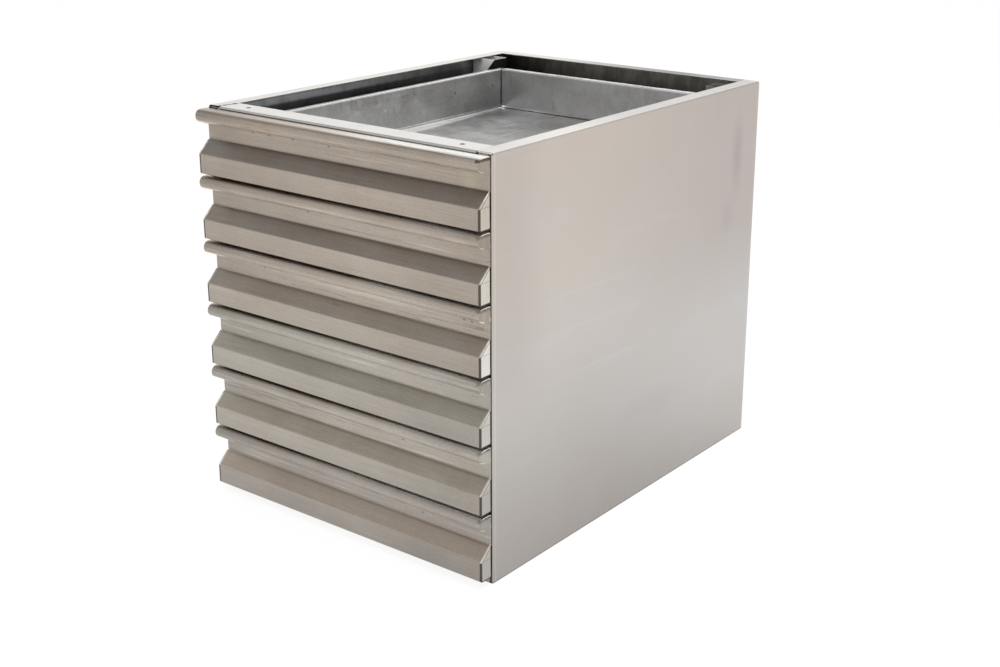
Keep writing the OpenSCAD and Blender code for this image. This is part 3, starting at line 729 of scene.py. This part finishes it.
def back_details(n, look):
    """Back panel: a bright flange, painted darker to the right as shade, and an inner face painted dark as
    shade between the case and the trays.
    """
    y, z = n.axis("Y"), n.axis("Z")
    top = flange_top(n)
    outer = n.remap(y, CASE_BACK_Y - 0.0019, CASE_BACK_Y - 0.0014)
    inner = n.math("SUBTRACT", 1.0, n.math("MAXIMUM", top, outer))
    brown = n.mix(n.remap(n.axis("X"), -0.25, -0.08), BACK_INSIDE_LEFT, BACK_INSIDE_RIGHT)
    look.tint_by(inner, n.mix(n.remap(z, NEAR_TOP_Z, DEEP_Z), brown, BACK_DEEP))
    mottled = n.noise(n.vector("MULTIPLY", n.place(), (1, 1, 0.4)), 60, 4, 0.65)
    look.shade_by(n.times(inner, n.remap(mottled, 0.42, 0.62)), 0.70)
    look.tint_by(top, FLANGE_COLOUR)
    look.shade_by(n.times(top, n.remap(n.axis("X"), -0.22, 0.12)), 0.23)


def below_rim(n, rim_top):
    """How far a point lies below the rim of its own tray, in metres."""
    return n.math("MODULO", n.math("SUBTRACT", rim_top, n.axis("Z")), PITCH)


def tray_details(n, look):
    """Trays: a painted highlight as a bright band along each lower fold, wide at the front, painted light and
    shade on the walls, floor and back wall, stains that run down the walls, and rims painted light.
    """
    side, y = n.axis("X"), n.axis("Y")
    x = n.math("ABSOLUTE", side)
    first_rim = FIRST_LIP_TOP - RIM_DROP

    # The floor is bowed beside the walls, over a reach that grows towards the front, and a painted highlight
    # lights that band
    reach = n.remap(y, 0.28, 0.0, 0.010, 0.034, smooth=False)
    start = n.math("SUBTRACT", TRAY_WALL_X - 0.0002, reach)
    share = n.math("DIVIDE", n.math("SUBTRACT", x, start), reach)
    band = n.times(n.remap(share, 0.0, 0.35), n.remap(x, TRAY_WALL_X + 0.0002, TRAY_WALL_X - 0.0002))
    on_floor = n.remap(below_rim(n, first_rim + 0.0005), TRAY_DEPTH - 0.004, TRAY_DEPTH - 0.002)
    look.shade_by(n.times(band, on_floor), 1.4)
    bowed = n.times(n.math("POWER", n.math("MAXIMUM", share, 0.0), 1.25), n.times(reach, 0.40))
    look.dish = n.times(bowed, on_floor)

    # The walls are painted lighter, and painted shade darkens them towards their feet and the rear corner
    on_wall = n.times(n.remap(x, TRAY_WALL_X - 0.0006, TRAY_WALL_X - 0.0003),
                      n.remap(x, TRAY_WALL_X + 0.0008, TRAY_WALL_X + 0.0004))
    foot = n.remap(below_rim(n, first_rim), 0.015, 0.06)
    look.tint_by(on_wall, (0.80, 0.79, 0.77))
    look.shade_by(n.times(on_wall, n.remap(y, 0.05, 0.27)), 0.72)
    look.shade_by(n.times(on_wall, foot), 0.75)
    look.shade_by(n.times(n.times(on_wall, foot), n.remap(y, 0.08, 0.24)), 0.70)

    # Painted light and shade: the back wall brightens to the right, and the floor is lighter on its left and
    # at its rear
    on_back = n.between(y, TRAY_BACK_Y - 0.0001, TRAY_BACK_Y + 0.0005, 0.0004)
    look.shade_by(on_back, 0.88)
    look.shade_by(n.times(on_back, n.remap(side, -0.20, 0.18)), 1.32)
    look.tint_by(n.times(on_floor, n.remap(side, 0.05, -0.15)), (0.78, 0.77, 0.76))
    look.shade_by(n.times(on_floor, n.remap(y, 0.15, 0.27)), 1.15)
    look.shade_by(n.times(on_floor, n.remap(side, -0.13, -0.04)), 0.72)

    # Stains, a fine mottle, and the rims painted light
    stains = n.noise(n.vector("MULTIPLY", n.place(), (1, 1, 0.25)), 75, 3, 0.55)
    look.shade_by(n.remap(stains, 0.56, 0.75), 0.84)
    fine = n.noise(n.vector("MULTIPLY", n.place(), (1, 0.5, 0.7)), 520, 3, 0.7)
    look.shade_by(n.remap(fine, 0.42, 0.62), 0.88)
    side_rim = n.remap(x, TRAY_WALL_X + 0.0009, TRAY_WALL_X + 0.0015)
    back_rim = n.remap(y, TRAY_BACK_Y + 0.0008, TRAY_BACK_Y + 0.0014)
    look.tint_by(n.math("MAXIMUM", side_rim, back_rim), (0.74, 0.73, 0.72))
    look.tint_by(back_rim, (0.94, 0.93, 0.91))


def upright_details(n, look):
    """Uprights: the left ones dull, mottled and painted light, with a painted black shadow of the tray; the
    right ones painted dark as shade.
    """
    x = n.math("ABSOLUTE", n.axis("X"))
    left = n.remap(n.axis("X"), 0.1, -0.1)
    shadow = n.math("MULTIPLY_ADD", n.math("SUBTRACT", CASE_TOP_Z - 0.0027, n.axis("Z")), 0.8, 0.2150)
    look.shade_by(n.times(left, n.remap(n.math("SUBTRACT", x, shadow), 0.003, 0.0)), 0.01)
    speckled = n.noise(n.place(), 420, 3, 0.7)
    look.shade_by(n.times(left, n.remap(speckled, 0.52, 0.60)), 0.70)
    look.tint_by(n.remap(n.axis("X"), -0.1, 0.1), (0.20, 0.185, 0.165))


def rail_details(n, look):
    """Top rail: fine scratches and dull wiped spots, with painted shade on its lower faces and in its screw
    holes.
    """
    specks = n.noise(n.vector("MULTIPLY", n.place(), (0.35, 1, 1)), 190, 2, 0.6)
    look.shade_by(n.remap(specks, 0.60, 0.74), 0.88)
    look.shade_by(n.remap(n.noise(n.place(), 26, 2), 0.5, 0.7), 0.95)
    # Painted shade on the faces below the rail's top
    look.shade_by(n.remap(n.axis("Z"), CASE_TOP_Z - 0.0020, CASE_TOP_Z - 0.0034), 0.35)
    # Painted shade in the screw holes, spilling onto a thin ring round each
    from_above = n.add("ShaderNodeCombineXYZ", inputs={
        "X": n.math("ABSOLUTE", n.axis("X")), "Y": n.axis("Y")}).outputs[0]
    from_hole = n.vector("LENGTH", n.vector("SUBTRACT", from_above, HOLE))
    look.shade_by(n.remap(from_hole, HOLE_EDGE + 0.0006, HOLE_EDGE), 0.08)


FINISHES = {
    "front": steel("front_steel", (0.50, 0.43, 0.37), ALONG_X, 0.38, grain=0.14, cloud=0.09,
                   marks=0.20, bump=0.2, blur=0.55, details=front_details),
    "cap": steel("end_cap_steel", (0.70, 0.645, 0.56), ALONG_Z, 0.38, grain=0.08, cloud=0.08,
                 details=cap_details, seed=5.0),
    "side": steel("side_panel_steel", (0.58, 0.555, 0.525), ALONG_Z, 0.36, grain=0.022, cloud=0.035,
                  cloud_size=0.16, marks=0.08, tint=(0.985, 0.995, 1.03), bump=0.05,
                  details=side_details, seed=2.0),
    "rail": steel("top_rail_steel", (0.60, 0.585, 0.565), ALONG_X, 0.34, grain=0.05, cloud=0.05,
                  details=rail_details, seed=7.0),
    "back": steel("back_panel_steel", (0.56, 0.54, 0.52), ALONG_Z, 0.36, grain=0.04, cloud=0.07,
                  details=back_details, seed=4.0),
    "base": steel("base_panel_steel", (0.50, 0.49, 0.47), ALONG_Y, 0.40, grain=0.06, cloud=0.1, spots=0.08,
                  seed=6.0),
    # The uprights' near-white matt base is painted light
    "upright": steel("upright_steel", (0.98, 0.95, 0.93), ALONG_Z, 0.55, grain=0.05, cloud=0.12,
                     cloud_size=0.02, spots=0.12, metallic=0.0, specular=0.1,
                     details=upright_details, seed=8.0),
    "tray": steel("tray_steel", (0.60, 0.59, 0.585), ALONG_Y, 0.33, grain=0.05, cloud=0.12,
                  cloud_size=0.05, spots=0.05, marks=0.0, details=tray_details, seed=9.0),
    "runner": steel("runner_steel", (0.56, 0.56, 0.56), ALONG_Y, 0.30, grain=0.08, cloud=0.06, seed=11.0),
    "screw": steel("screw_steel", (0.64, 0.63, 0.62), ALONG_X, 0.28, grain=0.04, cloud=0.05, seed=12.0),
    "cage": steel("ball_cage_steel", (0.66, 0.62, 0.52), ALONG_Y, 0.25, grain=0.03, cloud=0.05, seed=13.0),
    "bead": steel("ground_weld", (0.80, 0.77, 0.72), (40, 40, 40), 0.34, grain=0.12, cloud=0.2,
                  cloud_size=0.01, seed=14.0),
    # Dark welds and seams, also used for the painted shadow strips under the lips' top sheets
    "scorch": steel("dark_weld_and_shadow", (0.045, 0.038, 0.03), (40, 40, 40), 0.7, grain=0.2, cloud=0.4,
                    cloud_size=0.006, metallic=0.0, specular=0.15, seed=15.0),
}
NODE_FINISH = {
    "left_side_panel": "side", "right_side_panel": "side", "back_panel": "back", "base_panel": "base",
    "top_front_rail": "rail", "slide_screws": "screw",
}
for place in ("front_left", "front_right", "rear_left", "rear_right"):
    NODE_FINISH[place + "_upright"] = "upright"
for number in DRAWERS:
    for piece, finish in (("front", "front"), ("end_caps", "cap"), ("tray", "tray"), ("tray_back", "tray"),
                          ("outer_runners", "runner"), ("middle_runners", "runner"),
                          ("inner_runners", "runner"), ("ball_cages", "cage")):
        NODE_FINISH[f"drawer_{number}_{piece}"] = finish
for name, finish in NODE_FINISH.items():
    for used in nodes[name].material_slots:
        used.material = FINISHES[finish]


# ---------------------------------------------------------------- welds, seams and painted shadow strips

def finish_piece(name, bm, finish, body):
    """Turns a bmesh into a piece with smooth faces that rides on a body."""
    bmesh.ops.recalc_face_normals(bm, faces=bm.faces)
    mesh = bpy.data.meshes.new(name)
    bm.to_mesh(mesh)
    bm.free()
    mesh.shade_smooth()
    mesh.materials.append(FINISHES[finish])
    piece = bpy.data.objects.new(name, mesh)
    bpy.context.scene.collection.objects.link(piece)
    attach(piece, body)
    return piece


BEAD_SIDES = 8


def add_bead(bm, start, end, radius, chance, ripple, step=0.0022):
    """Weld bead from one point to another, uneven by the ripple, with a ring at each step."""
    start, end = Vector(start), Vector(end)
    along = (end - start).normalized()
    side = along.cross((0, 0, 1)) if abs(along.z) < 0.9 else along.cross((0, 1, 0))
    side.normalize()
    up = side.cross(along)
    count = max(3, round((end - start).length / step))
    rings = []
    for k in range(count + 1):
        taper = 0.35 if k in (0, count) else 1.0
        r = radius * taper * (1 + ripple * (chance.random() * 2 - 1))
        shift = side * (chance.random() - 0.5) * radius * ripple
        middle = start.lerp(end, k / count) + shift
        rings.append([bm.verts.new(middle + (side * math.cos(a) + up * math.sin(a)) * r)
                      for a in (2 * math.pi * i / BEAD_SIDES for i in range(BEAD_SIDES))])
    for low, high in zip(rings, rings[1:]):
        for i in range(BEAD_SIDES):
            j = (i + 1) % BEAD_SIDES
            bm.faces.new((low[i], low[j], high[j], high[i]))
    bm.faces.new(rings[0][::-1])
    bm.faces.new(rings[-1])


def lip_top(number):
    """Height of the top of a drawer's lip."""
    return FIRST_LIP_TOP - PITCH * (number - 1)


def cap_welds(number):
    """Ground beads round the end caps of a front, and a dark strip under the lip's top that is painted shadow
    where the top sheet shades the cap.
    """
    chance = random.Random(100 + number)
    top = lip_top(number)
    ground, lip_shadow = bmesh.new(), bmesh.new()
    for side in (-1, 1):
        x = side * (END_X - 0.0003)
        slope_top = (x, RECESS_Y - 0.0012, top - SLOPE_TOP - 0.0008)
        slope_foot = (x, GRIP_Y + 0.0008, top - SLOPE_FOOT + 0.0002)
        add_bead(ground, slope_top, slope_foot, 0.00075, chance, ripple=0.18)
        # Painted shadow: a dark strip under the lip's top sheet at each end
        under_lip = top - 0.0019
        add_bead(lip_shadow, (x, RECESS_Y - 0.0004, under_lip), (x, RECESS_Y - 0.0145, under_lip),
                 0.0006, chance, ripple=0.9, step=0.0013)
    finish_piece(f"drawer_{number}_cap_welds", ground, "bead", f"drawer_{number}")
    finish_piece(f"drawer_{number}_lip_shadow_strips", lip_shadow, "scorch", f"drawer_{number}")


# Spot welds: their radius, and rings as a share of it and a height over the wall. They are set out
# along each tray wall at four places, below its rim.
SPOT_RADIUS, SPOT_SIDES = 0.0021, 14
SPOT_RINGS = [(1.0, 0.0), (0.85, 0.00022), (0.6, 0.00018), (0.4, -0.00005), (0.12, -0.00008)]
SPOT_PLACES = (-0.2485, -0.1470, 0.1516, 0.2532)
SPOT_DROP = 0.0261


def add_spot(bm, x, y, z, facing):
    """Spot weld: a low ring round a shallow pit, on a wall that faces along X."""
    loops = []
    for share, out in SPOT_RINGS:
        loops.append([bm.verts.new((x + facing * out, y + SPOT_RADIUS * share * math.cos(a),
                                    z + SPOT_RADIUS * share * math.sin(a)))
                      for a in (2 * math.pi * i / SPOT_SIDES for i in range(SPOT_SIDES))])
    back = [bm.verts.new((x - facing * 0.0003, v.co.y, v.co.z)) for v in loops[0]]
    loops.insert(0, back)
    for outer, inner in zip(loops, loops[1:]):
        for i in range(SPOT_SIDES):
            j = (i + 1) % SPOT_SIDES
            bm.faces.new((outer[i], outer[j], inner[j], inner[i]))
    bm.faces.new(loops[-1])
    bm.faces.new(loops[0][::-1])


def tray_marks(number):
    """Spot welds that hold the runners to the tray, and the open seams of the tray's back wall."""
    chance = random.Random(200 + number)
    rim = lip_top(number) - RIM_DROP
    spots, seams = bmesh.new(), bmesh.new()
    seam_y = TRAY_BACK_Y - 0.0005
    low = rim - TRAY_DEPTH
    for side in (-1, 1):
        for y in SPOT_PLACES:
            add_spot(spots, side * TRAY_WALL_X, y, rim - SPOT_DROP, -side)
        x = side * (TRAY_WALL_X - 0.0005)
        add_bead(seams, (x, seam_y, low + 0.003), (x, seam_y, rim - 0.0008),
                 0.00055, chance, ripple=0.3, step=0.004)
    end = TRAY_WALL_X - 0.003
    add_bead(seams, (-end, seam_y, low + 0.0005), (end, seam_y, low + 0.0005),
             0.0006, chance, ripple=0.3, step=0.006)
    finish_piece(f"drawer_{number}_spot_welds", spots, "scorch", f"drawer_{number}")
    finish_piece(f"drawer_{number}_tray_seams", seams, "scorch", f"drawer_{number}")


STRIP_STEP, STRIP_RISE, STRIP_ROOT = 0.0007, 0.0001, 0.0003


def add_ragged_strip(bm, x, y_from, y_to, widest, chance, gaps, slant=0.0):
    """Thin ragged weld line along Y in the case's top, broken by gaps."""
    step = STRIP_STEP
    y = y_from
    while y < y_to:
        length = step * (2 + chance.random() * 9)
        stop = min(y_to, y + length)
        count = max(2, round((stop - y) / step))
        left, right = [], []
        for k in range(count + 1):
            at = y + (stop - y) * k / count
            half = widest * (0.25 + 0.75 * chance.random()) * (0.3 if k in (0, count) else 1) / 2
            shift = (chance.random() - 0.5) * widest * 0.3 + (at - y_from) * slant
            left.append((x + shift - half, at))
            right.append((x + shift + half, at))
        for a, b in zip(range(count), range(1, count + 1)):
            quad = (left[a], right[a], right[b], left[b])
            high = [bm.verts.new((px, py, CASE_TOP_Z + STRIP_RISE)) for px, py in quad]
            low = [bm.verts.new((px, py, CASE_TOP_Z - STRIP_ROOT)) for px, py in quad]
            bm.faces.new(high)
            bm.faces.new(low[::-1])
            for i in range(4):
                j = (i + 1) % 4
                bm.faces.new((low[i], low[j], high[j], high[i]))
        y = stop + step * chance.random() * gaps
    bmesh.ops.remove_doubles(bm, verts=bm.verts, dist=1e-7)


def rail_welds():
    """Ragged weld lines where the top rail meets the side flanges: open on the left, ground on the right."""
    chance = random.Random(7)
    left, right = bmesh.new(), bmesh.new()
    add_ragged_strip(left, -FLANGE_X - 0.005, CASE_FRONT_Y + 0.0044, CASE_FRONT_Y + 0.0359,
                     0.0085, chance, 4.0, slant=0.2)
    add_ragged_strip(right, FLANGE_X - 0.0002, CASE_FRONT_Y + 0.0034, CASE_FRONT_Y + 0.0397,
                     0.0014, chance, 6.0)
    # The right front corner is filled and ground flush with the rail
    corner_y, corner_z = CASE_FRONT_Y + 0.0016, CASE_TOP_Z - 0.0013
    add_bead(right, (FLANGE_X, corner_y, corner_z), (CASE_SIDE_X - 0.0007, corner_y, corner_z),
             0.0013, chance, ripple=0.12)
    finish_piece("left_rail_weld", left, "scorch", "case")
    finish_piece("right_rail_weld", right, "bead", "case")


for number in DRAWERS:
    cap_welds(number)
    tray_marks(number)
rail_welds()
